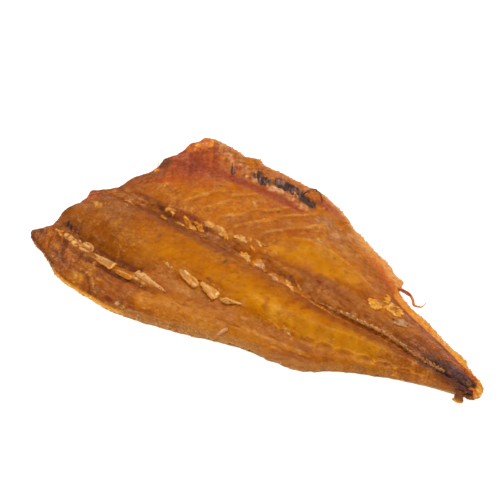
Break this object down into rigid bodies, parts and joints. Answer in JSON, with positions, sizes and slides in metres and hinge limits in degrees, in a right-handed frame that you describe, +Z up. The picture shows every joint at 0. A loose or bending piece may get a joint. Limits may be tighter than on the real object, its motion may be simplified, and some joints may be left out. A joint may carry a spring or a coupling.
{
  "type": "smoked fish",
  "caption": "Split, headless smoked fish lying open and flat, skin side down, with amber flesh, a sunken seam, bits of bone in the flesh and a ragged translucent edge.",
  "frame": {"origin": "centre of the fish's footprint on the board it lies on", "axes": "+X from the head cut to the tail stump, +Y over the flap with the belly rim, +Z up out of the flesh"},
  "size_m": [0.2398, 0.1328, 0.015],
  "materials": {
    "flesh": "smoked amber flesh, dried and slightly oily",
    "skin": "thin smoked skin, bronze with darker bars",
    "bone": "dry bone, pale amber"
  },
  "bodies": {
    "root": {"fish": "flesh", "neck_bone_1": "bone", "neck_bone_2": "bone", "neck_bone_3": "bone", "neck_bone_4": "bone", "neck_bone_5": "bone", "neck_bone_6": "bone", "rib_stub_1": "bone", "rib_stub_2": "bone", "rib_stub_3": "bone", "rib_stub_4": "bone", "bone_chip": "bone"}
  },
  "joints": []
}
